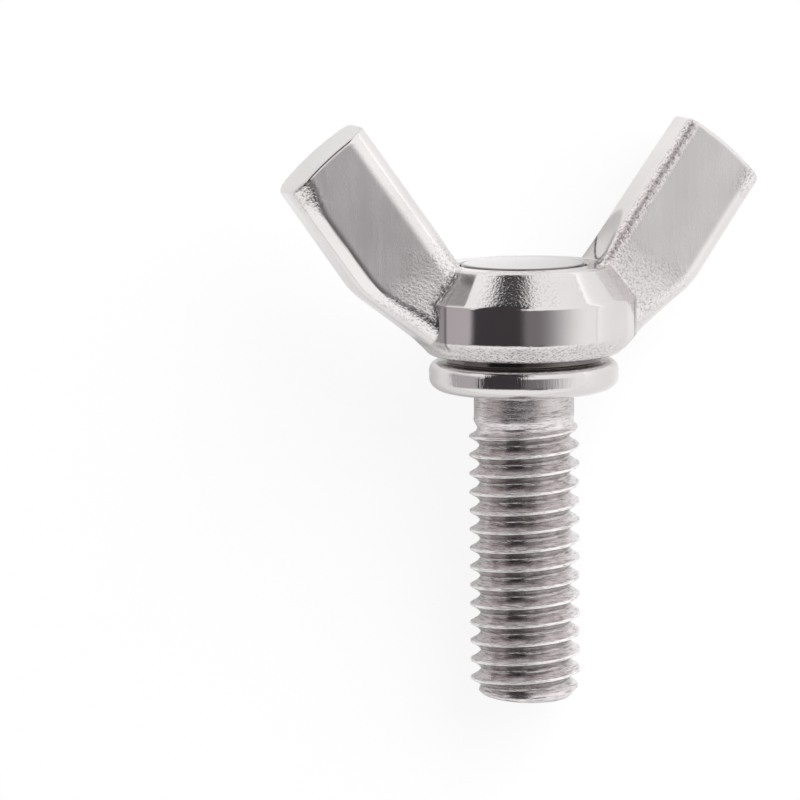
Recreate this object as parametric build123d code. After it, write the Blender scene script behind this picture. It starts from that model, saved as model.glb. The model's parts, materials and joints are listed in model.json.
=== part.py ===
"""Wing screw M6 x 16, American form, of stainless steel.

Two pieces, pressed together and rigid:

  wing_head     the cold-forged head: a round hub with two thick wings and a through bore
  flanged_stud  the turned stud: rolled M6 thread, plain neck, round collar, raised seat, and a spigot
                that fills the hub's bore and shows as a disc in the hub's top

Both are modelled upright in the screw's own frame: the stud's axis is Z, the collar's bearing face
is Z = 0, the thread points down and the wings lie in the XZ plane. Then both are turned together,
as one, into the way that the screw comes to rest on a flat surface: on the lower edge of the hub's
band, on the chamfer's upper edge at the end of the thread and on the tip of one wing. The head points to +Y, +Z is up, and the
origin is on that surface, below the middle of the whole screw. All sizes are in millimetres.
"""
from build123d import *
import math
import os

# ---- thread, neck and end of the stud
THREAD_MAJOR = 6.0
STUD_LENGTH = 16.0           # from the collar's bearing face to the end of the thread
NECK_DIAMETER = 5.3          # the blank's diameter, which the rolled thread leaves bare
NECK_LENGTH = 1.3
NECK_CORNER = 0.3            # chamfered corner where the neck meets the collar
RUN_OUT = 1.2                # length over which the first turn grows to its full height
END_DIAMETER = 4.7
END_CHAMFER = 0.75           # length of the chamfer at the end
# ---- collar, seat and spigot
SEAT_DIAMETER = 8.2          # the raised seat that carries the hub
SEAT_HEIGHT = 0.35
COLLAR_LEDGE = 0.9           # the collar's width outside the seat
COLLAR_DIAMETER = SEAT_DIAMETER + 2 * COLLAR_LEDGE
COLLAR_THICKNESS = 1.6
COLLAR_ROUND = 0.75          # radius of the collar's rim, top and bottom
SPIGOT_PROUD = 0.12          # the spigot's end above the hub's top
SPIGOT_EDGE = 0.2            # chamfer of the spigot's end
BORE_CLEARANCE = 0.18        # radial gap between spigot and bore, open as a thin moat
# ---- hub
BORE_DIAMETER = 6.9
HUB_DIAMETER = 11.9
HUB_HEIGHT = 4.7
HUB_FOOT_DIAMETER = 10.0     # the underside, inside the lower bevel
HUB_BEVEL = 0.95             # height of the lower bevel
HUB_BAND = 2.0               # height of the cylindrical band
HUB_TOP_DIAMETER = 9.3       # outside of the flat top ring
# ---- wings: a side outline in (distance from the axis, height above the hub's underside)
WING_TIP_OUTER = (12.85, 8.80)
WING_TIP_INNER = (8.85, 12.25)
WING_BEND = (9.05, 3.40)     # where the outer edge turns in to the hub
WING_FOOT = (5.0, 0.35)
WING_ROOT_INNER = (3.55, 4.70)
WING_BEND_RADIUS = 5.0
WING_END_BULGE = 0.22
WING_THICKNESS = 4.0
WING_EDGE = 0.95             # round of the long edges
WING_END_EDGE = 0.2          # chamfer of the end face's edge
ROOT_THICKNESS = 6.2         # across the flare, at the foot
FLARE_LENGTH = 5.0           # along the wing, from its foot to where the flare ends
# ---- the hollow that the conical heading punch leaves at the root of each wing's inner edge
SCOOP_FOOT = 4.05            # distance from the axis at the hub's top
SCOOP_HEIGHT = 2.5           # above the hub's top

# ---- levels and radii that follow
HUB_BASE = COLLAR_THICKNESS + SEAT_HEIGHT
HUB_TOP = HUB_BASE + HUB_HEIGHT
BAND_LOW = HUB_BASE + HUB_BEVEL
BAND_HIGH = BAND_LOW + HUB_BAND
MAJOR_RADIUS = THREAD_MAJOR / 2
NECK_RADIUS = NECK_DIAMETER / 2
END_RADIUS = END_DIAMETER / 2
COLLAR_RADIUS = COLLAR_DIAMETER / 2
HUB_RADIUS = HUB_DIAMETER / 2
BORE_RADIUS = BORE_DIAMETER / 2
SPIGOT_RADIUS = BORE_RADIUS - BORE_CLEARANCE


def unit(x, y):
    """The direction (x, y), one long."""
    length = math.hypot(x, y)
    return x / length, y / length


def revolved(face):
    """A half section in the XZ plane, turned once round the stud's axis."""
    return revolve(face, Axis.Z, 360).solid()


def flanged_stud():
    """The stud, turned in one profile: chamfered shank, neck, collar, seat and spigot."""
    spigot_top = HUB_TOP + SPIGOT_PROUD
    profile = make_face(Plane.XZ * Polyline(
        (0, -STUD_LENGTH),
        (END_RADIUS, -STUD_LENGTH),
        (MAJOR_RADIUS, -STUD_LENGTH + END_CHAMFER),
        (MAJOR_RADIUS, -NECK_LENGTH - RUN_OUT),
        (NECK_RADIUS, -NECK_LENGTH),
        (NECK_RADIUS, -NECK_CORNER),
        (NECK_RADIUS + NECK_CORNER, 0),
        (COLLAR_RADIUS, 0),
        (COLLAR_RADIUS, COLLAR_THICKNESS),
        (SEAT_DIAMETER / 2, COLLAR_THICKNESS),
        (SEAT_DIAMETER / 2, HUB_BASE),
        (SPIGOT_RADIUS, HUB_BASE),
        (SPIGOT_RADIUS, spigot_top - SPIGOT_EDGE),
        (SPIGOT_RADIUS - SPIGOT_EDGE, spigot_top),
        (0, spigot_top),
        close=True))
    body = revolved(profile)
    rim = body.edges().filter_by(GeomType.CIRCLE).filter_by(lambda e: abs(e.radius - COLLAR_RADIUS) < 1e-6)
    return body.fillet(COLLAR_ROUND, rim)


def hub():
    """The round hub: lower bevel, cylindrical band, cone and flat top ring, without its bore."""
    profile = make_face(Plane.XZ * Polyline(
        (0, HUB_BASE),
        (HUB_FOOT_DIAMETER / 2, HUB_BASE),
        (HUB_RADIUS, BAND_LOW),
        (HUB_RADIUS, BAND_HIGH),
        (HUB_TOP_DIAMETER / 2, HUB_TOP),
        (0, HUB_TOP),
        close=True))
    return revolved(profile)


def wing():
    """The wing on the +X side: its side outline, cut to a thickness that flares at the root."""
    def lifted(point):
        return point[0], point[1] + HUB_BASE

    tip_outer = lifted(WING_TIP_OUTER)
    tip_inner = lifted(WING_TIP_INNER)
    root_inner = lifted(WING_ROOT_INNER)
    foot = lifted(WING_FOOT)
    bend = lifted(WING_BEND)
    along = unit(tip_inner[0] - root_inner[0], tip_inner[1] - root_inner[1])
    end_middle = ((tip_outer[0] + tip_inner[0]) / 2 + WING_END_BULGE * along[0],
                  (tip_outer[1] + tip_inner[1]) / 2 + WING_END_BULGE * along[1])
    # both edges run on into the hub, and the wing is cut off inside it once its edges are round
    run_in = 3.0
    back = unit(foot[0] - bend[0], foot[1] - bend[1])
    foot_end = (foot[0] + run_in * back[0], foot[1] + run_in * back[1])
    inner_end = (root_inner[0] - run_in * along[0], root_inner[1] - run_in * along[1])
    outline = Plane.XZ * Curve([
        Line(inner_end, tip_inner),
        ThreePointArc(tip_inner, end_middle, tip_outer),
        *FilletPolyline(tip_outer, bend, foot_end, radius=WING_BEND_RADIUS).edges(),
        Line(foot_end, inner_end),
    ])
    slab = extrude(make_face(outline), ROOT_THICKNESS, both=True)

    # thickness, drawn along the wing: flat sides, and an arc that flares them towards the hub
    half = WING_THICKNESS / 2
    flare = ROOT_THICKNESS / 2 - half
    radius = (FLARE_LENGTH ** 2 + flare ** 2) / (2 * flare)
    reach = 30.0
    behind = FLARE_LENGTH + 5.0

    def on_flare(distance):
        """A point of the flare's arc, at this distance back from where it leaves the flat."""
        return FLARE_LENGTH - distance, half + radius - math.sqrt(radius ** 2 - distance ** 2)

    start, finish = on_flare(0), on_flare(behind)
    side = [
        Line((reach, 0), (reach, half)),
        Line((reach, half), start),
        ThreePointArc(start, on_flare(behind / 2), finish),
        Line(finish, (finish[0], 0)),
        Line((finish[0], 0), (reach, 0)),
    ]
    across = (along[1], 0, -along[0])
    lengthwise = Plane((foot[0], 0, foot[1]), x_dir=(along[0], 0, along[1]), z_dir=across)
    half_section = make_face(side)
    section = half_section + mirror(half_section, Plane.XZ)
    thickness = extrude(lengthwise * section, reach, both=True)
    body = (slab & thickness).solid()

    def is_long_edge(edge):
        """True for the edges between a side of the wing and its inner or outer edge."""
        start, middle, finish = (edge.position_at(t) for t in (0, 0.5, 1))
        crosses = abs(start.Y - finish.Y) > WING_THICKNESS / 2
        lengthwise_run = abs((finish.X - start.X) * along[0] + (finish.Z - start.Z) * along[1])
        is_seam = lengthwise_run < 0.1 * edge.length
        on_end = math.hypot(middle.X - end_middle[0], middle.Z - end_middle[1]) < 1.5
        on_cut = min(start.X, finish.X) < inner_end[0] + 0.01 and max(start.X, finish.X) < foot_end[0] + 0.01
        return not (crosses or is_seam or on_end or on_cut)

    body = body.fillet(WING_EDGE, body.edges().filter_by(is_long_edge))
    end_face = body.faces().sort_by(Axis((0, 0, 0), (along[0], 0, along[1])))[-1]
    body = body.chamfer(WING_END_EDGE, None, end_face.edges())
    beyond_core = Pos(BORE_RADIUS / 2, 0, foot[1]) * Box(reach, reach, reach, align=(Align.MIN, Align.CENTER, Align.MIN))
    return (body & beyond_core).solid()


def scoop():
    """The punch's cone. It meets the inner edge's flat in an arch that is SCOOP_HEIGHT high."""
    rise = (WING_TIP_INNER[0] - WING_ROOT_INNER[0]) / (WING_TIP_INNER[1] - WING_ROOT_INNER[1])
    edge_at_top = WING_ROOT_INNER[0] + (HUB_HEIGHT - WING_ROOT_INNER[1]) * rise
    spread = (edge_at_top + SCOOP_HEIGHT * rise - SCOOP_FOOT) / SCOOP_HEIGHT
    tall = 2 * SCOOP_HEIGHT
    return Pos(0, 0, HUB_TOP) * Cone(SCOOP_FOOT, SCOOP_FOOT + spread * tall, tall,
                                     align=(Align.CENTER, Align.CENTER, Align.MIN))


def wing_head():
    """The head: hub and two wings in one piece, with the punch's scoops and the bore."""
    one_wing = wing() - scoop()
    body = hub() + one_wing + one_wing.rotate(Axis.Z, 180)
    bore = Pos(0, 0, HUB_BASE) * Cylinder(BORE_RADIUS, HUB_HEIGHT * 2, align=(Align.CENTER, Align.CENTER, Align.MIN))
    return (body - bore).solid()


def resting_plane():
    """The plane whose own axes are the resting screw's, in the upright frame.

    Down is the direction in which three things reach equally far: the lower edge of the hub's band,
    the upper edge of the shank's chamfer, and the rounded outer edge of the +X wing, at its tip. The
    first two are circles round the axis and give the lean. The third gives the roll.
    """
    lean = math.atan2(MAJOR_RADIUS - HUB_RADIUS, BAND_LOW + STUD_LENGTH - END_CHAMFER)
    reach = HUB_RADIUS + BAND_LOW * math.tan(lean)
    edge = unit(WING_TIP_OUTER[0] - WING_BEND[0], WING_TIP_OUTER[1] - WING_BEND[1])
    centre_x = WING_TIP_OUTER[0] - WING_EDGE * edge[1]
    centre_y = WING_THICKNESS / 2 - WING_EDGE
    centre_z = WING_TIP_OUTER[1] + WING_EDGE * edge[0] + HUB_BASE
    needed = reach - centre_z * math.tan(lean) - WING_EDGE / math.cos(lean)
    roll = math.atan2(centre_y, centre_x) + math.acos(needed / math.hypot(centre_x, centre_y))
    up = Vector(-math.cos(lean) * math.cos(roll), -math.cos(lean) * math.sin(roll), -math.sin(lean))
    head = (Vector(0, 0, 1) - up * up.Z).normalized()
    return Plane((0, 0, 0), x_dir=head.cross(up), z_dir=up)


def laid_down(upright):
    """The upright pieces, turned to rest on Z = 0 with the origin below the middle of the whole."""
    rest = resting_plane()
    turned = {name: rest.to_local_coords(solid) for name, solid in upright.items()}
    box = Compound(list(turned.values())).bounding_box()
    middle = box.center()
    shift = Location((-middle.X, -middle.Y, -box.min.Z))
    return {name: solid.moved(shift) for name, solid in turned.items()}


nodes = laid_down({"wing_head": wing_head(), "flanged_stud": flanged_stud()})

os.makedirs("parts", exist_ok=True)
for name, solid in nodes.items():
    export_step(solid, f"parts/{name}.step")
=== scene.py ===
"""Wing screw M6 x 16, American form: the looks of its two pieces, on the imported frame.

The head and the stud are worked out in the screw's own upright frame, in millimetres: the stud's axis
is Z, the collar's bearing face is Z = 0, the thread points down and the wings lie in the XZ plane.
laid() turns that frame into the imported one, in which the screw lies as it comes to rest.
"""

import json
import math

import bpy
import numpy as np
from mathutils import Matrix, Vector


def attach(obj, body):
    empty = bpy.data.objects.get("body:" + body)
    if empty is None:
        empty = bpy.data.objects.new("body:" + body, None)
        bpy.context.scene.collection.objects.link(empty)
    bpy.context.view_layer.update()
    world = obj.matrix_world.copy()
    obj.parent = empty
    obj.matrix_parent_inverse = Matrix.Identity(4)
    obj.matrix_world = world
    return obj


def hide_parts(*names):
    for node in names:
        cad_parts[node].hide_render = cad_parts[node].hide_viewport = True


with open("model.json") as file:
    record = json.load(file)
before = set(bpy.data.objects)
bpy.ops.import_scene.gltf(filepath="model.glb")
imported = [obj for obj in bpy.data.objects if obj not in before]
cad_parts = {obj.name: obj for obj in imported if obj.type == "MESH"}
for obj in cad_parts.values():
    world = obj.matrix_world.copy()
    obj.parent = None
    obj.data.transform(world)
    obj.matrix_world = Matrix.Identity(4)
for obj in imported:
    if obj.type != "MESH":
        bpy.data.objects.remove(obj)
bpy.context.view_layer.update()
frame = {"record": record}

# ---- the stud, in millimetres
PITCH = 1.0
MAJOR = 2.93                 # radius over the crests: a rolled M6 thread is a little under its nominal size
ROOT = 2.387                 # radius at the bottom of the groove, and the round there
ROOT_ROUND = 0.144
CREST_HALF = 0.0625          # half of the crest's width
CREST_FALL = 0.02            # how far its edges fall away
SEAM_HALF = 0.034            # half of the width of the seam along the crest's middle
SEAM_DEPTH = 0.022
CREST_PHASE = 0.066          # height of a crest on the +X side, less whole turns
THREAD_END = -16.0
END_DROP = 0.28              # the rolled end bulges this far past the cut length
END_RADIUS = 2.42
END_CHAMFER = 0.55
END_SLANT = 0.15             # the end leans by this much at its rim
END_SLANT_WAY = 1.24         # and this is the way that it leans, in radians
END_HOLLOW = (1.55, 0.16)    # radius and depth of the hollow in the end's middle
STUD_COLUMNS = 176           # of the stud's mesh, round the axis
NECK_RADIUS = 2.65           # the plain stretch between the thread and the collar
NECK_LENGTH = 1.3
NECK_FILLET = 0.3
RUN_OUT = 1.2                # the thread grows from the neck over this length
COLLAR_RADIUS = 5.0
COLLAR_THICKNESS = 1.6
COLLAR_SHOULDER = (0.55, 0.52)    # the rim's upper round: how far in, and how tall
COLLAR_BILGE = (0.85, 0.68)       # its lower round
SEAT_RADIUS = 4.1            # the raised ring on which the hub's underside sits
SEAT_FILLET = 0.06
SPIGOT_RADIUS = 3.27         # it fills the hub's bore, and its end is the disc in the hub's top
SPIGOT_TOP = 6.77
SPIGOT_ROUND = 0.18          # round of the disc's edge
SPIGOT_ROUND_DROP = 0.24     # the round's centre is this far below the disc's middle
SPIGOT_ROUND_END = 75        # degrees of the round, before the disc's shallow dome
# ---- the head, in millimetres
HUB_BASE = 1.95              # heights of the hub's underside and top
HUB_TOP = 6.65
HUB_FOOT = 5.0               # its radius at the underside, round the band, and at the top
HUB_RADIUS = 5.95
HUB_TOP_RADIUS = 4.65
BAND_LOW = 2.9               # the plain band lies between these heights
BAND_HIGH = 4.9
HUB_CREASE = 0.05            # round where the band meets the cone
HUB_EDGE = 0.08              # rounds of the bevel and of the top
HUB_BASE_EDGE = 0.1
FLAT_BEARING = math.radians(35.5)    # the hub has a flat beside each wing root, which faces this way
FLAT_HALF = math.radians(6.0)        # half of the angle that it takes
BORE_RADIUS = 3.39
BORE_EDGE = 0.1
TIP_OUTER = (12.85, 10.75)   # a wing's corners in the XZ plane: the two of its end face,
TIP_INNER = (8.85, 14.20)
BEND = (9.05, 5.35)          # where its outer edge bends, with an arc of BEND_RADIUS,
FOOT = (5.0, 2.30)           # and where its outer and inner edges end at the hub
ROOT_INNER = (3.55, 6.65)
BEND_RADIUS = 5.0
END_BULGE = 0.22             # how far the end face is crowned
WING_HALF = 2.0              # half of the thickness
WING_EDGE = 0.95             # round of the outer edge, in the wing's middle
INNER_EDGE = (0.60, 1.35)    # round of the inner edge, on the crisp side of a wing and on the full side
ROOT_FULLER = 0.55           # added to the outer round at the root
CORNER_FULLER = 0.45         # and at the tip's corner, on the full side
SPLAY = 0.022                # both wings lean back by this much for each millimetre out from the axis
END_EDGE = 0.16              # round of the crisp edge about the end face
WING_DRAFT = 0.03            # how fast each side leans in towards the tip
DRAFT_FROM = 7.0             # the wing has its half thickness this far along
ROOT_HALF = 3.35             # half of the thickness that the flare reaches at the root
FLARE = 5.0                  # length of the flare
ROOT_FILLET = 0.09
SCOOP_FOOT = 4.05            # radius of the punch's cone at the hub's top
SCOOP_SPREAD = 0.5           # growth of the punch's cone with height
SCOOP_LEAN = 0.894           # cosine of the angle at which it spreads
SCOOP_FLOOR = 0.3            # the punch stopped this far below the hub's top
SCOOP_EDGE = 0.05
SCUFF_WAY = (-0.358, -0.933)         # where the cone is scuffed, on this side and the one opposite
HEEL_BEARING = 29.6          # degrees: the crease between a wing's heel and the hub's band
CELL = 0.099                 # side of the cells that the head's surface is found in
HEAD_LOW = np.array([-13.3, -6.2, 1.7])
HEAD_HIGH = np.array([13.3, 6.2, 14.8])
YAW = math.radians(16.0)     # the wings are turned this far from square to the camera

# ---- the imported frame's directions, from the record's mounts
mounts = {mount["name"]: mount for mount in frame["record"]["mounts"]}
AXIS = -np.array(mounts["thread_end"]["axis"])
AXIS /= np.linalg.norm(AXIS)
SEAT = np.array(mounts["thread_end"]["pos_m"]) * 1000 - THREAD_END * AXIS
ACROSS = np.array(mounts["collar_seat"]["pos_m"]) * 1000 - SEAT
ACROSS -= ACROSS @ AXIS * AXIS
ACROSS /= np.linalg.norm(ACROSS)
UPRIGHT = np.stack([ACROSS, np.cross(AXIS, ACROSS), AXIS])


def laid(points):
    """Points of the upright frame, in millimetres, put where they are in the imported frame, in metres."""
    return (np.asarray(points, dtype=float) @ UPRIGHT + SEAT) / 1000


def smooth(low, high, value):
    """0 below low, 1 above high, and the cubic 3t^2 - 2t^3 between."""
    t = np.clip((value - low) / (high - low), 0, 1)
    return t * t * (3 - 2 * t)


def ripple(points, lengths, seed):
    """Slow waves, -1 to 1: the mean of sines that run in fixed random directions at these wavelengths."""
    rng = np.random.default_rng(seed)
    total = np.zeros(len(points))
    for length in lengths:
        for _ in range(3):
            way = rng.normal(size=3)
            way /= np.linalg.norm(way)
            total += np.sin(2 * np.pi * (points @ way) / length + rng.uniform(0, 2 * np.pi))
    return total / (3 * len(lengths))


# ---- meshes

def build(name, points, faces, values):
    """A smooth-shaded piece from upright points in millimetres, faces, and named values at its points.
    Its attribute upright keeps the points as they were given, for marks that follow the axis."""
    mesh = bpy.data.meshes.new(name)
    mesh.from_pydata(laid(points), [], faces)
    for key, numbers in values.items():
        layer = mesh.attributes.new(key, "FLOAT", "POINT")
        layer.data.foreach_set("value", np.asarray(numbers, dtype=np.float32))
    layer = mesh.attributes.new("upright", "FLOAT_VECTOR", "POINT")
    layer.data.foreach_set("vector", np.asarray(points, dtype=np.float32).ravel())
    mesh.polygons.foreach_set("use_smooth", np.ones(len(mesh.polygons), dtype=bool))
    mesh.update()
    piece = bpy.data.objects.new(name, mesh)
    bpy.context.collection.objects.link(piece)
    return piece


def corner(a, b, radius):
    """What lies inside both a and b, with their edge rounded at this radius."""
    a, b = a + radius, b + radius
    return np.minimum(np.maximum(a, b), 0) + np.hypot(np.maximum(a, 0), np.maximum(b, 0)) - radius


def joined(a, b, radius):
    """What lies inside a or b, with a fillet of this radius where they meet."""
    return -corner(-a, -b, radius)


def line(x, z, start, end):
    """Distance from the line through start and end, positive to its left."""
    along = np.array(end) - np.array(start)
    along = along / np.linalg.norm(along)
    return along[0] * (z - start[1]) - along[1] * (x - start[0])


def bent(x, z, start, bend, end, radius):
    """Distance from two lines that meet at bend, with an arc of this radius between them: the larger of
    the lines' distances, and between the arc's two ends the distance from its centre less the radius."""
    ways = [np.array(bend) - np.array(start), np.array(end) - np.array(bend)]
    first, second = (way / np.linalg.norm(way) for way in ways)
    inward = np.array([[first[1], -first[0]], [second[1], -second[0]]])
    centre = np.array(bend) + np.linalg.solve(inward, [radius, radius])
    across, up = x - centre[0], z - centre[1]
    on_arc = (across * first[0] + up * first[1] > 0) & (across * second[0] + up * second[1] < 0)
    straight = np.maximum(line(x, z, start, bend), line(x, z, bend, end))
    return np.where(on_arc, np.hypot(across, up) - radius, straight)


def arc_side(x, z, start, end, rise):
    """Distance from the arc from start to end whose middle stands this far to the left, positive outside."""
    start, end = np.array(start), np.array(end)
    chord = end - start
    length = np.linalg.norm(chord)
    left = np.array([-chord[1], chord[0]]) / length
    radius = (length ** 2 / 4 + rise ** 2) / (2 * abs(rise))
    centre = (start + end) / 2 + left * (rise - math.copysign(radius, rise))
    return math.copysign(1, rise) * (np.hypot(x - centre[0], z - centre[1]) - radius)


WING_WAY = np.array(TIP_INNER) - np.array(ROOT_INNER)
WING_WAY /= np.linalg.norm(WING_WAY)


def wing_parts(x, y, z):
    """A wing's measures: distance out of its inner edge, its outer edge, its sides and its end face, and
    the way along it from its foot. The sides lean in a little, and an arc flares them towards the hub."""
    inner = line(x, z, ROOT_INNER, TIP_INNER)
    outer = bent(x, z, TIP_OUTER, BEND, FOOT, BEND_RADIUS)
    along = (x - FOOT[0]) * WING_WAY[0] + (z - FOOT[1]) * WING_WAY[1]
    rise = ROOT_HALF - WING_HALF
    y = y - SPLAY * x
    radius = (FLARE ** 2 + rise ** 2) / (2 * rise)
    behind = np.clip(FLARE - along, 0, FLARE + 4)
    half = WING_HALF - WING_DRAFT * (np.maximum(along, FLARE) - DRAFT_FROM)
    half = half + radius - np.sqrt(radius ** 2 - behind ** 2)
    end = arc_side(x, z, TIP_INNER, TIP_OUTER, END_BULGE)
    return inner, outer, np.abs(y) - half, end, along


def edge_rounds(full, along, end):
    """Radii of a wing's inner and outer edges. The die left one side of each wing fuller: there the
    inner edge is rounder, and the outer one too at the tip's corner. The root's outer edge is fuller."""
    inner = np.where(full, INNER_EDGE[1], INNER_EDGE[0])
    outer = WING_EDGE + ROOT_FULLER * smooth(4.5, 0.5, along)
    outer = outer + CORNER_FULLER * smooth(-2.2, -0.2, end) * full
    return inner, outer


def head_parts(points):
    """How far each point is outside the hub, outside the wings, and inside the punch's cone."""
    x, y, z = points.T
    r = np.hypot(x, y)
    full = x * y > 0
    x = np.abs(x)
    # hub: underside, bevel, band, cone, top, and a flat beside each wing root
    flat = x * math.cos(FLAT_BEARING) + np.abs(y) * math.sin(FLAT_BEARING)
    reach = np.maximum(r, flat + HUB_RADIUS * (1 - math.cos(FLAT_HALF)))
    bevel = ((reach - HUB_FOOT) - (z - HUB_BASE)) * math.sqrt(0.5)
    fall = (HUB_RADIUS - HUB_TOP_RADIUS, HUB_TOP - BAND_HIGH)
    cone = ((reach - HUB_RADIUS) * fall[1] + (z - BAND_HIGH) * fall[0]) / math.hypot(*fall)
    hub = corner(reach - HUB_RADIUS, cone, HUB_CREASE)
    hub = corner(hub, bevel, HUB_EDGE)
    hub = corner(hub, z - HUB_TOP, HUB_EDGE)
    hub = corner(hub, HUB_BASE - z, HUB_BASE_EDGE)
    # wing: broad rounds along its edges, fuller at the root and at the outer corner, and a crisp end
    inner, outer, side, end, along = wing_parts(x, y, z)
    inner_round, outer_round = edge_rounds(full, along, end)
    wing = np.maximum(corner(inner, side, inner_round), corner(outer, side, outer_round))
    wing = corner(wing, end, END_EDGE)
    spread = (SCOOP_FOOT + SCOOP_SPREAD * (z - HUB_TOP) - r) * SCOOP_LEAN
    punch = np.minimum(spread, z - HUB_TOP + SCOOP_FLOOR)
    wing = corner(wing, punch, SCOOP_EDGE)
    wing = np.maximum(wing, np.maximum(FOOT[1] - z, BORE_RADIUS / 2 - x))
    return hub, wing, punch


def head_level(points):
    """How far each point is outside the head: hub joined to both wings, less the bore."""
    hub, wing, _ = head_parts(points)
    bore = BORE_RADIUS - np.hypot(points[:, 0], points[:, 1])
    return corner(joined(hub, wing, ROOT_FILLET), bore, BORE_EDGE)


def differences(level, points, step):
    """How much level grows over two steps along each axis, at every point."""
    ways = [level(points + step * unit) - level(points - step * unit) for unit in np.eye(3)]
    return np.stack(ways, axis=1)


def level_surface(level, low, high, cell):
    """The surface on which level is zero, as points and four-sided faces.

    The box is divided into cells. Each cell that the surface crosses gets one point, at the mean of the
    crossings on its edges, and each crossed edge joins the points of its four cells. The points are then
    moved on to the surface, along the level's gradient.
    """
    counts = np.ceil((high - low) / cell).astype(int) + 1
    axes = [low[k] + cell * np.arange(counts[k]) for k in range(3)]
    grid = np.stack(np.meshgrid(*axes, indexing="ij"), axis=-1).reshape(-1, 3)
    f = np.concatenate([level(part) for part in np.array_split(grid, 12)]).reshape(counts)
    inside = f < 0
    sums = np.zeros((*(counts - 1), 3))
    hits = np.zeros(counts - 1)
    crossings = []
    for k in range(3):
        a = [slice(None)] * 3
        b = [slice(None)] * 3
        a[k], b[k] = slice(0, -1), slice(1, None)
        fa, fb = f[tuple(a)], f[tuple(b)]
        crossed = inside[tuple(a)] != inside[tuple(b)]
        where = np.argwhere(crossed)
        share = (fa / np.where(crossed, fa - fb, 1))[crossed]
        spot = where.astype(float)
        spot[:, k] += share
        u, v = (k + 1) % 3, (k + 2) % 3
        for du in (0, 1):
            for dv in (0, 1):
                cells = where.copy()
                cells[:, u] -= du
                cells[:, v] -= dv
                ok = ((cells >= 0) & (cells < counts - 1)).all(axis=1)
                np.add.at(sums, tuple(cells[ok].T), spot[ok])
                np.add.at(hits, tuple(cells[ok].T), 1)
        crossings.append((k, where, inside[tuple(a)][crossed]))
    used = hits > 0
    number = np.full(used.shape, -1)
    number[used] = np.arange(used.sum())
    points = low + cell * (sums[used] / hits[used][:, None])
    faces = []
    for k, where, from_inside in crossings:
        u, v = (k + 1) % 3, (k + 2) % 3
        ring = []
        for du, dv in ((1, 1), (0, 1), (0, 0), (1, 0)):
            cells = where.copy()
            cells[:, u] -= du
            cells[:, v] -= dv
            ring.append(number[tuple(cells.T)])
        ring = np.stack(ring, axis=1)
        faces.append(np.where(from_inside[:, None], ring, ring[:, ::-1]))
    faces = np.concatenate(faces)
    step = 0.002
    for _ in range(6):
        value = level(points)
        slope = differences(level, points, step) / (2 * step)
        size = np.maximum((slope ** 2).sum(axis=1), 0.25)
        points = points - np.clip(value / size, -0.05, 0.05)[:, None] * slope
    return points, faces


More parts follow.
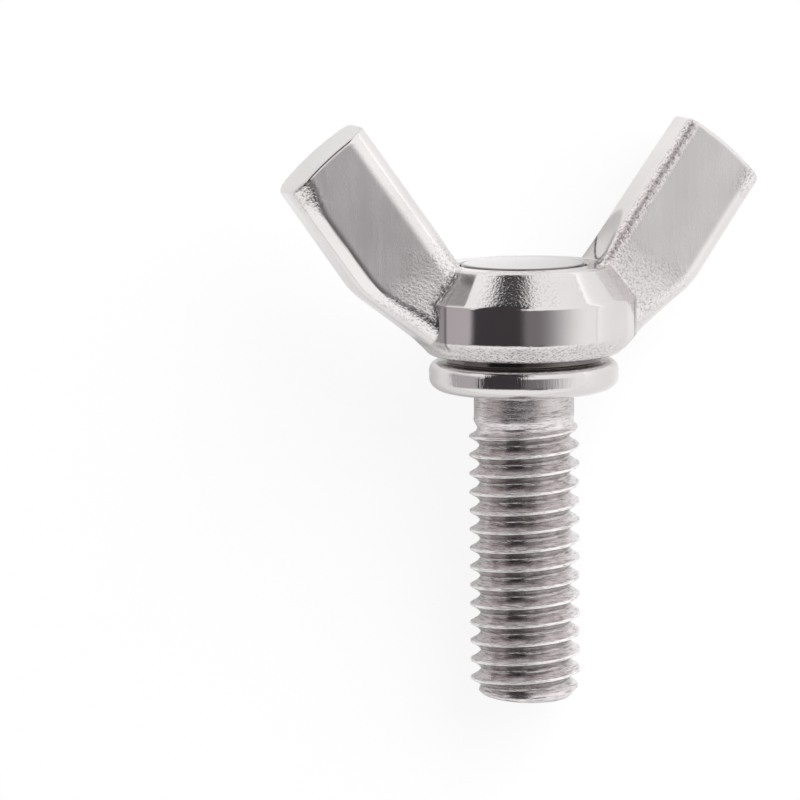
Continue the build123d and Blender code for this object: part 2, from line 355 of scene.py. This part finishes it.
def head_finish(points):
    """The head's finishes at its points, each from 0 to 1, and how far each point is sunk.

    grain is the orange peel of metal that flowed and satin the die's face on the wings. The third mark is
    painted shade in the hollow, creases, moat and end faces and a little over the hub, and the fourth is
    the trimmed edge, rougher and with a painted highlight. The numbers in smooth() are millimetres.
    """
    x, y, z = points.T
    r = np.hypot(x, y)
    full = x * y > 0
    hub, wing, punch = head_parts(points)
    on_wing = smooth(0.05, -0.05, wing - hub)
    inner, outer, side, end, along = wing_parts(np.abs(x), y, z)
    inner_round, outer_round = edge_rounds(full, along, end)
    wander = ripple(points, (0.9, 1.7, 2.6), 3)

    # a wing: its flat, its end face, and the grain at its root and at its tip's corner
    flat = on_wing * smooth(-0.08, -0.01, side)
    flat = flat * smooth(-0.3, 0.1, -outer - outer_round) * smooth(-0.3, 0.1, -inner - inner_round)
    face = on_wing * smooth(-0.08, -0.01, end)
    root = 0.7 * on_wing * smooth(5.6, 3.4, along + 1.2 * wander) * smooth(-0.9, -0.1, side)
    tip = (on_wing - face) * smooth(1.9, 0.5, -end + 0.5 * wander)
    tip = tip * smooth(1.6, 0.7, -outer) * smooth(-1.2, -0.2, side)
    # the fin trimmed off along a wing's inner edge: crumbled on its crisp side, tumbled smooth on the other,
    # and given a painted highlight
    ridge = on_wing * smooth(-0.05, 0.10, inner + inner_round)
    ridge = ridge * smooth(0.0, 0.15, side + inner_round) * smooth(0.8, 2.2, along + wander)
    ridge *= np.where(full, 0.10, 1.0) * (1 - face)
    # the seam where a wing's flat meets the hub's cone
    meet = np.abs(wing - hub)
    seam = np.maximum(on_wing * smooth(0.38, 0.22, meet), smooth(0.16, 0.06, meet))
    seam = seam * np.where(full, 1.0, 0.15) * smooth(BAND_HIGH - 1.0, BAND_HIGH - 0.4, z)
    seam = seam * (r > HUB_TOP_RADIUS - 0.3) * smooth(-0.3, 0.0, side)
    crumbs = np.random.default_rng(5).random(len(points))
    broken = np.clip(ridge * np.where(full, 0.4, 1.0) + seam, 0, 1)

    # the hub: painted shade over each wing's heel, darkest in the crease where it meets the band, the grainy
    # bevel, the scuffed cone
    turn = np.degrees(np.arctan2(np.abs(y), np.abs(x)))
    belt = (1 - on_wing) * smooth(BAND_LOW - 0.5, BAND_LOW - 0.2, z)
    belt = belt * smooth(BAND_HIGH + 0.05, BAND_HIGH - 0.05, z)
    crease = smooth(0.9, 0.3, np.abs(turn - HEEL_BEARING))
    heel = belt * (0.30 * smooth(HEEL_BEARING + 0.2, HEEL_BEARING - 0.4, turn) + 0.55 * crease)
    bevel = (1 - on_wing) * smooth(BAND_LOW + 0.25, BAND_LOW - 0.15, z + 0.12 * wander)
    cone = (1 - on_wing) * smooth(BAND_HIGH, BAND_HIGH + 0.2, z)
    angle = (x * SCUFF_WAY[0] + y * SCUFF_WAY[1]) / np.maximum(r, 1e-6)
    scuff = smooth(0.91, 0.95, angle + 0.02 * wander) + smooth(0.90, 0.96, -angle + 0.03 * wander)
    moat = smooth(BORE_RADIUS + 0.16, BORE_RADIUS + 0.04, r)

    # the punch's hollow: a U-shaped step low in it and the hollow's brink, with painted shade over the hollow
    # that is deeper at its brink and along the step
    hollow = smooth(-0.06, -0.01, punch) * smooth(HUB_TOP + 0.02, HUB_TOP + 0.10, z)
    step = (z - HUB_TOP - 0.10 - 0.7 * y * y) / np.sqrt(1 + (1.4 * y) ** 2)
    step_line = smooth(0.10, 0.03, np.abs(step)) * smooth(1.4, 1.15, np.abs(y)) * hollow
    brink = smooth(-0.30, -0.06, np.maximum(inner, side))

    grain = np.clip(root + tip + ridge + 0.9 * bevel + cone * (0.05 + 0.30 * scuff) + seam, 0, 1)
    # painted shade: in the punch's hollow, along its step, in each heel's crease, round the bore, on the end
    # faces, and a little over the whole hub
    painted_shade = hollow * (0.14 + 0.26 * brink + 0.12 * smooth(0.05, -0.05, step)) + 0.9 * step_line + heel
    painted_shade = painted_shade + 0.3 * moat + 0.17 * face + 0.08 * (1 - on_wing)
    # painted shade in dark specks along the crumbled trimmed edge and in the seam of wing and cone
    dark = (0.10 * broken + 0.45 * seam) * smooth(0.55, 0.75, crumbs)
    painted_shade = np.clip(painted_shade + dark, 0, 1)
    quiet = smooth(BORE_RADIUS, BORE_RADIUS + 0.4, r) * smooth(HUB_BASE, HUB_BASE + 0.5, z)
    sunk = 0.012 * (1 + ripple(points, (2.2, 3.7, 5.1), 11)) * quiet
    sunk = sunk + (0.032 + 0.030 * seam) * broken * crumbs + 0.03 * step_line
    marks = {"grain": grain, "satin": np.maximum(flat, 0.7 * face), "painted_shade": painted_shade, "flash_and_highlight": ridge}
    return marks, sunk


def wing_head():
    """The forged head: the level surface of head_level, sunk a little unevenly, with its finishes."""
    points, faces = level_surface(head_level, HEAD_LOW, HEAD_HIGH, CELL)
    marks, sunk = head_finish(points)
    slope = differences(head_level, points, 0.01)
    slope /= np.maximum(np.linalg.norm(slope, axis=1), 1e-9)[:, None]
    return build("forged_wing_head", points - sunk[:, None] * slope, faces.tolist(), marks)


def thread_radius(phase):
    """The rolled thread's radius, by the part of a turn from the nearest crest: a crest with a faint
    seam along its middle, 60 degree flanks, and a round root."""
    q = np.abs((phase + 0.5) % 1.0 - 0.5)
    flank = MAJOR - (q - PITCH / 20) * math.sqrt(3)
    seam = SEAM_DEPTH * smooth(SEAM_HALF, 0.0, q)
    crest = MAJOR - seam - CREST_FALL * smooth(0.03, CREST_HALF, q)
    across = np.minimum(0.5 - q, 0.125)
    root = ROOT + ROOT_ROUND - np.sqrt(np.maximum(ROOT_ROUND ** 2 - across ** 2, 0))
    return np.maximum(np.minimum(flank, crest), root)


def arc(centre, radius, start, finish, count):
    """Points of an arc in a profile, by its angles in degrees. radius may be two, across and up."""
    a = np.radians(np.linspace(start, finish, count))
    wide, tall = np.broadcast_to(radius, 2)
    return [(centre[0] + wide * c, centre[1] + tall * d) for c, d in zip(np.cos(a), np.sin(a))]


def steps(a, b, count):
    """Even points of a straight stretch of a profile."""
    return [tuple(p) for p in np.linspace(a, b, count)]


def turned(profile, turn):
    """A profile turned round the axis, as rows of points."""
    profile = np.array(profile)
    return np.stack([profile[:, :1] * np.cos(turn), profile[:, :1] * np.sin(turn),
                     np.repeat(profile[:, 1:], len(turn), axis=1)], axis=-1)


def upper_profile():
    """The stud above its thread, from the neck up: radius and height of the neck, the collar with its
    two rounds, the seat, the spigot, and the disc with its rounded edge and shallow dome."""
    bilge = (COLLAR_RADIUS - COLLAR_BILGE[0], COLLAR_BILGE[1])
    shoulder = (COLLAR_RADIUS - COLLAR_SHOULDER[0], COLLAR_THICKNESS - COLLAR_SHOULDER[1])
    foot = (SEAT_RADIUS + SEAT_FILLET, COLLAR_THICKNESS + SEAT_FILLET)
    outline = steps((NECK_RADIUS, -NECK_LENGTH), (NECK_RADIUS, -NECK_FILLET - 0.05), 8)
    outline += arc((NECK_RADIUS + NECK_FILLET, -NECK_FILLET), NECK_FILLET, 180, 90, 7)
    outline += steps((NECK_RADIUS + NECK_FILLET + 0.04, 0), (bilge[0] - 0.03, 0), 6)
    outline += arc(bilge, COLLAR_BILGE, -90, 0, 18)
    outline += arc(shoulder, COLLAR_SHOULDER, 0, 90, 14)
    outline += [(SEAT_RADIUS + 0.08, COLLAR_THICKNESS)] + arc(foot, SEAT_FILLET, -90, -180, 4)
    outline += steps((SEAT_RADIUS, COLLAR_THICKNESS + 0.1), (SEAT_RADIUS, HUB_BASE - 0.03), 3)
    outline += [(SEAT_RADIUS - 0.03, HUB_BASE)]
    outline += steps((SPIGOT_RADIUS + 0.04, HUB_BASE), (SPIGOT_RADIUS, HUB_BASE + 0.04), 2)
    outline += steps((SPIGOT_RADIUS, HUB_BASE + 0.2), (SPIGOT_RADIUS, SPIGOT_TOP - 0.28), 12)
    centre = (SPIGOT_RADIUS - SPIGOT_ROUND, SPIGOT_TOP - SPIGOT_ROUND_DROP)
    outline += arc(centre, SPIGOT_ROUND, 0, SPIGOT_ROUND_END, 7)
    edge = centre[0] + SPIGOT_ROUND * math.cos(math.radians(SPIGOT_ROUND_END))
    base = centre[1] + SPIGOT_ROUND * math.sin(math.radians(SPIGOT_ROUND_END))
    outline += [(edge * q, base + (SPIGOT_TOP - base) * (1 - q * q)) for q in np.linspace(0.96, 0.0, 24)]
    return outline


def one_skin(sheets):
    """Sheets of points made one mesh: their quads, with points that coincide made one, and a quad that
    this leaves three-sided made a triangle."""
    points, faces, start = [], [], 0
    for sheet in sheets:
        count, width = sheet.shape[:2]
        index = start + np.arange(count * width).reshape(count, width)
        quads = np.stack([index[:-1, :-1], index[:-1, 1:], index[1:, 1:], index[1:, :-1]], axis=-1)
        points.append(sheet.reshape(-1, 3))
        faces.append(quads.reshape(-1, 4))
        start += count * width
    points, faces = np.concatenate(points), np.concatenate(faces)
    _, first, number = np.unique(np.round(points, 4), axis=0, return_index=True, return_inverse=True)
    faces = number.reshape(-1)[faces]
    wide = np.array([len(set(face)) for face in faces.tolist()])
    slim = [list(dict.fromkeys(face)) for face in faces[wide == 3].tolist()]
    return points[first], faces[wide == 4].tolist() + slim


def flanged_stud():
    """The stud: thread, neck, collar, seat and spigot as one closed skin.

    The thread is a grid of rows along the stud and columns round it, sheared by one pitch a turn, so
    that its rows follow the helix. Its radius is the rolled profile, grown from the plain neck over
    the run-out and kept inside the end's chamfer. The rest is a profile turned round the axis.
    """
    turn = np.linspace(0, 2 * np.pi, STUD_COLUMNS + 1)
    stops = np.array([-0.5, -0.455, -0.415, -0.375, -0.27, -0.165, -0.09, -CREST_HALF, -SEAM_HALF, 0.0,
                      SEAM_HALF, CREST_HALF, 0.09, 0.165, 0.27, 0.375, 0.415, 0.455])
    turns = np.arange(math.floor(THREAD_END) - 3, 1)
    rows = (turns[:, None] + stops[None, :] + CREST_PHASE).ravel()
    s, t = np.meshgrid(rows, turn, indexing="ij")
    top = -NECK_LENGTH
    low = THREAD_END - END_DROP
    z = np.clip(s + PITCH * t / (2 * np.pi), low, top)
    grown = smooth(top, top - RUN_OUT, z)
    r = NECK_RADIUS + (thread_radius(s - CREST_PHASE) - NECK_RADIUS) * grown
    chamfer = END_RADIUS + (z - low) * (MAJOR - END_RADIUS) / END_CHAMFER
    r = np.minimum(r, chamfer)
    z = z - END_SLANT * np.cos(t + END_SLANT_WAY) * smooth(low + 0.9, low, z)
    shell = np.stack([r * np.cos(t), r * np.sin(t), z], axis=-1)
    wide, deep = END_HOLLOW
    base = [(q, low + deep * max(1 - (q / wide) ** 4, 0)) for q in np.linspace(0, END_RADIUS, 24)]
    base = turned(base, turn)
    reach = np.hypot(base[..., 0], base[..., 1])
    base[..., 2] -= END_SLANT * np.cos(turn + END_SLANT_WAY) * reach / END_RADIUS
    points, faces = one_skin([base, shell, turned(upper_profile(), turn)])

    # its finishes, each from 0 to 1, and the painted shade in the seat gap and in the moat round the disc
    radius = np.hypot(points[:, 0], points[:, 1])
    z = points[:, 2]
    gap = smooth(COLLAR_THICKNESS - 0.02, COLLAR_THICKNESS + 0.04, z) * smooth(HUB_BASE + 0.3, HUB_BASE, z)
    moat = smooth(SPIGOT_RADIUS - 0.2, SPIGOT_RADIUS - 0.05, radius) * (z > HUB_BASE + 1)
    marks = {
        "crest": smooth(MAJOR - 0.12, MAJOR - 0.02, radius) * (z < top),
        "threaded": smooth(-0.1, -0.4, z),
        "painted_shade": np.clip(gap + moat, 0, 1),
        "disc": smooth(SPIGOT_TOP - 0.5, SPIGOT_TOP - 0.3, z),
        "neck": smooth(-0.1, -0.3, z) * smooth(top - 0.1, top + 0.1, z),
        "rim": smooth(COLLAR_RADIUS - 0.5, COLLAR_RADIUS - 0.2, radius) * (np.abs(z - 0.8) < 1),
        "groove": smooth(ROOT + 0.20, ROOT + 0.02, radius) * smooth(top - 0.4, top - 0.9, z),
    }
    return build("rolled_flanged_stud", points, faces, marks)


# ---- materials

def linear(code):
    """An sRGB hex colour as linear red, green, blue, alpha."""
    parts = np.array([int(code[k:k + 2], 16) for k in (1, 3, 5)]) / 255
    parts = np.where(parts <= 0.04045, parts / 12.92, ((parts + 0.055) / 1.055) ** 2.4)
    return (*parts.tolist(), 1.0)


def add(tree, kind, settings=None, **inputs):
    """Adds one node with its settings. An input is a value, or a socket that is linked to it; its name
    has _ for a space, and a number after i means the input's place."""
    node = tree.nodes.new(kind)
    for key, value in (settings or {}).items():
        setattr(node, key, value)
    for key, value in inputs.items():
        by_place = key[0] == "i" and key[1:].isdigit()
        socket = node.inputs[int(key[1:]) if by_place else key.replace("_", " ")]
        if isinstance(value, bpy.types.NodeSocket):
            tree.links.new(value, socket)
        else:
            socket.default_value = value
    return node


def mark(tree, name, output="Fac"):
    """The piece's value of this name, or with the output Vector its points of this name."""
    return add(tree, "ShaderNodeAttribute", {"attribute_name": name}).outputs[output]


def maths(tree, operation, *values, clamp=False):
    """One operation on its values, in their order."""
    inputs = {f"i{place}": value for place, value in enumerate(values)}
    return add(tree, "ShaderNodeMath", {"operation": operation, "use_clamp": clamp}, **inputs).outputs[0]


def spread(tree, value, start, stop, low, high):
    """A value whose range from start to stop becomes the range from low to high."""
    return add(tree, "ShaderNodeMapRange", {}, Value=value, From_Min=start, From_Max=stop,
               To_Min=low, To_Max=high).outputs[0]


def noise(tree, vector, scale, detail, rough):
    """Noise of this many turns in the vector's unit."""
    return add(tree, "ShaderNodeTexNoise", {}, Vector=vector, Scale=scale, Detail=detail,
               Roughness=rough).outputs["Fac"]


def mixed(tree, share, first, second):
    """The first colour where share is 0, and the second where it is 1."""
    return add(tree, "ShaderNodeMix", {"data_type": "RGBA"}, i0=share, i6=first, i7=second).outputs[2]


def stretched(tree, vector, scale):
    """The vector's three parts, each times its scale: noise on it runs out along the smallest."""
    return add(tree, "ShaderNodeMapping", {"vector_type": "POINT"}, Vector=vector, Scale=scale).outputs[0]


def bumped(tree, height, distance, **under):
    """A bump this many metres deep. Normal is the bump that it lies on."""
    return add(tree, "ShaderNodeBump", {}, Strength=1.0, Distance=distance, Height=height, **under).outputs[0]


def material(name):
    """A new material with an empty node tree."""
    paint = bpy.data.materials.new(name)
    paint.use_nodes = True
    paint.node_tree.nodes.clear()
    return paint, paint.node_tree


def metal(tree, colour, rough, normal):
    """The metal's shader and the material's output."""
    shader = add(tree, "ShaderNodeBsdfPrincipled", {}, Base_Color=colour, Metallic=1.0, Roughness=rough,
                 Normal=normal)
    add(tree, "ShaderNodeOutputMaterial", {}, Surface=shader.outputs[0])


def forged_stainless():
    """A2 stainless steel, cold forged, tumbled bright: hub and rounds polished by the tumbling, flats
    of the wings satin from the die, and an orange-peel grain where the metal flowed most."""
    paint, tree = material("tumbled_forged_stainless")
    place = add(tree, "ShaderNodeTexCoord").outputs["Object"]
    grain, satin, painted_shade, flash_and_highlight = (mark(tree, name) for name in ("grain", "satin", "painted_shade", "flash_and_highlight"))
    # place is in metres: 7500 turns to one is a grain of about 0.13 mm, coarse enough to show
    peel = noise(tree, place, 7500.0, 2.0, 0.6)
    cloud = noise(tree, place, 260.0, 2.0, 0.5)
    fine = noise(tree, place, 2600.0, 3.0, 0.6)
    # the die's drag marks run up the wings, about 0.5 mm apart. upright is in millimetres
    drag = noise(tree, stretched(tree, mark(tree, "upright", "Vector"), (1.0, 1.0, 0.14)), 2.0, 4.0, 0.6)

    tone = spread(tree, cloud, 0.3, 0.7, 0.0, 1.0)
    colour = mixed(tree, tone, linear("#DAD6D6"), linear("#E4E0E0"))
    # a painted highlight along the trimmed edge
    colour = mixed(tree, flash_and_highlight, colour, linear("#FCF6F5"))
    pits = maths(tree, "MULTIPLY", spread(tree, peel, 0.50, 0.36, 0.0, 0.55), grain)
    colour = mixed(tree, pits, colour, linear("#7C7674"))
    # painted shade in the hollows, creases, moat and end faces, and a little over the hub
    colour = mixed(tree, painted_shade, colour, linear("#565052"))

    # polished at 0.09 and satin at 0.27, and rougher where shade is painted, in the grain and on the trimmed
    # edge
    rough = spread(tree, satin, 0.0, 1.0, 0.09, 0.27)
    rough = maths(tree, "MULTIPLY_ADD", painted_shade, 0.16, rough)
    rough = maths(tree, "MULTIPLY_ADD", grain, 0.05, rough)
    rough = maths(tree, "MULTIPLY_ADD", flash_and_highlight, 0.34, rough)
    streaks = maths(tree, "MULTIPLY", spread(tree, drag, 0.3, 0.7, -0.03, 0.03), satin)
    rough = maths(tree, "ADD", rough, streaks)

    bump = bumped(tree, maths(tree, "MULTIPLY", grain, peel), 0.00004)
    bump = bumped(tree, maths(tree, "MULTIPLY", satin, drag), 0.000005, Normal=bump)
    bump = bumped(tree, fine, 0.000001, Normal=bump)
    metal(tree, colour, rough, bump)
    return paint


def rolled_stainless():
    """A2 stainless steel, turned collar and spigot tumbled bright, and a rolled thread that is a little
    darker and warmer in its flanks, with a painted highlight on its crests."""
    paint, tree = material("turned_and_rolled_stainless")
    place = add(tree, "ShaderNodeTexCoord").outputs["Object"]
    upright = mark(tree, "upright", "Vector")
    crest, threaded, groove = (mark(tree, name) for name in ("crest", "threaded", "groove"))
    neck, rim, disc, painted_shade = (mark(tree, name) for name in ("neck", "rim", "disc", "painted_shade"))
    # turned and rolled marks run round the stud, about 0.07 mm apart; rubs on the rim run down it, 0.12 mm
    # apart. upright is in millimetres, and place in metres
    marks = noise(tree, stretched(tree, upright, (0.10, 0.10, 1.0)), 14.0, 3.0, 0.65)
    rubs = noise(tree, stretched(tree, upright, (1.0, 1.0, 0.12)), 8.0, 2.0, 0.6)
    fine = noise(tree, place, 2600.0, 3.0, 0.6)
    nicks = noise(tree, place, 5200.0, 2.0, 0.6)

    flank = mixed(tree, fine, linear("#CBC4C5"), linear("#F0EBEC"))
    # a painted highlight on the crests
    thread = mixed(tree, crest, flank, linear("#FAF8F7"))
    smooth_part = mixed(tree, disc, linear("#D5D1D1"), linear("#CBC7C6"))
    # painted shade in the seat gap and the moat
    smooth_part = mixed(tree, painted_shade, smooth_part, linear("#6E6866"))
    colour = mixed(tree, threaded, smooth_part, thread)
    # dark stains that the rolling left in the thread's marks, and painted shade on the neck and in the
    # grooves
    stain_and_shade = maths(tree, "MULTIPLY", spread(tree, marks, 0.50, 0.36, 0.0, 0.5), threaded)
    stain_and_shade = maths(tree, "MULTIPLY_ADD", neck, 0.28, stain_and_shade)
    stain_and_shade = maths(tree, "MULTIPLY_ADD", groove, 0.40, stain_and_shade, clamp=True)
    colour = mixed(tree, stain_and_shade, colour, linear("#6F6966"))

    # turned at 0.09 and rolled at 0.21, and rougher on the neck and on the nicked crests
    rough = spread(tree, threaded, 0.0, 1.0, 0.09, 0.21)
    rough = maths(tree, "MULTIPLY_ADD", neck, 0.05, rough)
    rough = maths(tree, "MULTIPLY_ADD", crest, 0.12, rough)
    rough = maths(tree, "ADD", rough, spread(tree, fine, 0.3, 0.7, -0.04, 0.04))

    bump = bumped(tree, maths(tree, "MULTIPLY", crest, nicks), 0.00006)
    bump = bumped(tree, maths(tree, "MULTIPLY", threaded, marks), 0.00002, Normal=bump)
    bump = bumped(tree, maths(tree, "MULTIPLY", rim, rubs), 0.000012, Normal=bump)
    bump = bumped(tree, fine, 0.000003, Normal=bump)
    metal(tree, colour, rough, bump)
    return paint


# ---- stage, light and camera

RIGHT = math.cos(YAW) * UPRIGHT[0] - math.sin(YAW) * UPRIGHT[1]
BACK = math.sin(YAW) * UPRIGHT[0] + math.cos(YAW) * UPRIGHT[1]
SEEN = np.stack([RIGHT, BACK, UPRIGHT[2]])       # right, away and up, as the camera sees the upright screw


EYE = np.array([-5.77, -211.7, 28.17])           # the lens, in SEEN's directions from the seat, in mm
LENS = 181.8
LAMP_WAY = np.array([0.50, -0.62, 0.60])         # right, away and up
LAMP_DISTANCE = 0.4                              # in metres, as the next two are
LAMP_SIZE = 0.40
FLOOR_HALF = 1.2
SWEEP_SEEN = 0.88            # how much of the floor shines white to the eye, and the rest takes the shadow
SWEEP_MIRRORED = 0.25        # and how much of it does in the metal


def camera():
    """A long lens, a little above the screw and looking down on it, held as the screw lies."""
    pitch, yaw, roll = 0.1347, -0.0037, -0.0102      # radians down, to the right, and about the view
    ahead = np.array([math.sin(yaw) * math.cos(pitch), math.cos(yaw) * math.cos(pitch), -math.sin(pitch)])
    side = np.cross(ahead, [0, 0, 1])
    side /= np.linalg.norm(side)
    above = np.cross(side, ahead)
    side, above = (math.cos(roll) * side + math.sin(roll) * above,
                   math.cos(roll) * above - math.sin(roll) * side)
    spot = (EYE @ SEEN + SEAT) / 1000
    turn = np.stack([side @ SEEN, above @ SEEN, -ahead @ SEEN], axis=1)
    data = bpy.data.cameras.new("camera")
    data.sensor_width = 36.0
    data.lens = LENS
    data.clip_start, data.clip_end = 0.01, 10.0
    eye = bpy.data.objects.new("camera", data)
    bpy.context.collection.objects.link(eye)
    matrix = Matrix([list(row) + [0] for row in turn] + [[0, 0, 0, 1]])
    matrix.translation = Vector(spot)
    eye.matrix_world = matrix
    bpy.context.scene.camera = eye


def tent():
    """A pale tent round the screw as the world: grey at the front and right, with dark openings."""
    world = bpy.data.worlds.new("tent")
    bpy.context.scene.world = world
    world.use_nodes = True
    tree = world.node_tree
    tree.nodes.clear()
    way = add(tree, "ShaderNodeTexCoord").outputs["Generated"]

    def side(normal, soft, shift=0.0):
        """0 on one side of a plane through the screw and 1 on the other, its normal right, away and up."""
        normal = np.array(normal, dtype=float) / np.linalg.norm(normal)
        along = add(tree, "ShaderNodeVectorMath", {"operation": "DOT_PRODUCT"},
                    i0=way, i1=tuple(normal @ SEEN))
        return add(tree, "ShaderNodeMapRange", {"interpolation_type": "SMOOTHSTEP"},
                   Value=along.outputs["Value"], From_Min=shift - soft, From_Max=shift + soft,
                   To_Min=0.0, To_Max=1.0).outputs[0]

    def window(left, right, low, high):
        """1 in a window of the tent. left and right are bearings from the front, in degrees to the right,
        low and high are heights as sines, and each comes with its edge's softness."""
        a, b = math.radians(left[0]), math.radians(right[0])
        out = side((math.cos(a), math.sin(a), 0), left[1])
        for edge in (side((-math.cos(b), -math.sin(b), 0), right[1]),
                     side((0, 0, 1), low[1], low[0]),
                     side((0, 0, -1), high[1], -high[0])):
            out = maths(tree, "MULTIPLY", out, edge)
        return out

    shade = window((-60, 0.08), (40, 0.50), (-0.36, 0.10), (0.16, 0.12))
    opening = window((-54, 0.04), (-1, 0.09), (-0.30, 0.06), (0.97, 0.03))
    above = window((-54, 0.04), (8, 0.06), (0.60, 0.06), (0.97, 0.03))
    opening = maths(tree, "MAXIMUM", opening, above)
    slot = window((4, 0.05), (26, 0.06), (-0.46, 0.04), (-0.21, 0.04))
    flank = window((-125, 0.30), (-58, 0.05), (-0.40, 0.12), (0.45, 0.20))
    colour = mixed(tree, shade, linear("#FFFFFF"), linear("#7A7678"))
    colour = mixed(tree, flank, colour, linear("#B9B4B6"))
    colour = mixed(tree, slot, colour, linear("#666264"))
    colour = mixed(tree, opening, colour, linear("#403D40"))
    light = add(tree, "ShaderNodeBackground", {}, Color=colour, Strength=1.15)
    add(tree, "ShaderNodeOutputWorld", {}, Surface=light.outputs[0])


def soft_lamp():
    """A soft lamp from the front, the right and above, which no metal mirrors."""
    lamp = bpy.data.lights.new("soft_lamp", "AREA")
    lamp.shape = "DISK"
    lamp.size = LAMP_SIZE
    lamp.energy = 1.8
    lamp_object = bpy.data.objects.new("soft_lamp", lamp)
    bpy.context.collection.objects.link(lamp_object)
    lamp_object.visible_glossy = False
    place = Vector(LAMP_DISTANCE * LAMP_WAY @ SEEN)
    lamp_object.location = place
    lamp_object.rotation_euler = (-place).to_track_quat("-Z", "Y").to_euler()


def white_floor():
    """A white floor, whose own light keeps it white and leaves the screw's shadow faint."""
    size = FLOOR_HALF
    floor_mesh = bpy.data.meshes.new("floor")
    corners = [(-size, -size, 0), (size, -size, 0), (size, size, 0), (-size, size, 0)]
    floor_mesh.from_pydata(corners, [], [(0, 1, 2, 3)])
    floor = bpy.data.objects.new("floor", floor_mesh)
    bpy.context.collection.objects.link(floor)
    paint, tree = material("white_sweep")
    path = add(tree, "ShaderNodeLightPath")
    seen = maths(tree, "ADD", path.outputs["Is Glossy Ray"], path.outputs["Is Transmission Ray"])
    seen = maths(tree, "MULTIPLY", seen, SWEEP_MIRRORED)
    share = maths(tree, "MULTIPLY_ADD", path.outputs["Is Camera Ray"], SWEEP_SEEN, seen, clamp=True)
    card = add(tree, "ShaderNodeBsdfDiffuse", {}, Color=linear("#F6F6F6"))
    glow = add(tree, "ShaderNodeEmission", {}, Color=linear("#FFFFFF"), Strength=1.0)
    both = add(tree, "ShaderNodeMixShader", {}, i0=share, i1=card.outputs[0], i2=glow.outputs[0])
    add(tree, "ShaderNodeOutputMaterial", {}, Surface=both.outputs[0])
    floor_mesh.materials.append(paint)


head = wing_head()
head.data.materials.append(forged_stainless())
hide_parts("wing_head")
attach(head, "root")

stud = flanged_stud()
stud.data.materials.append(rolled_stainless())
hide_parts("flanged_stud")
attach(stud, "root")

camera()
tent()
soft_lamp()
white_floor()
bpy.context.scene.view_settings.view_transform = "Standard"
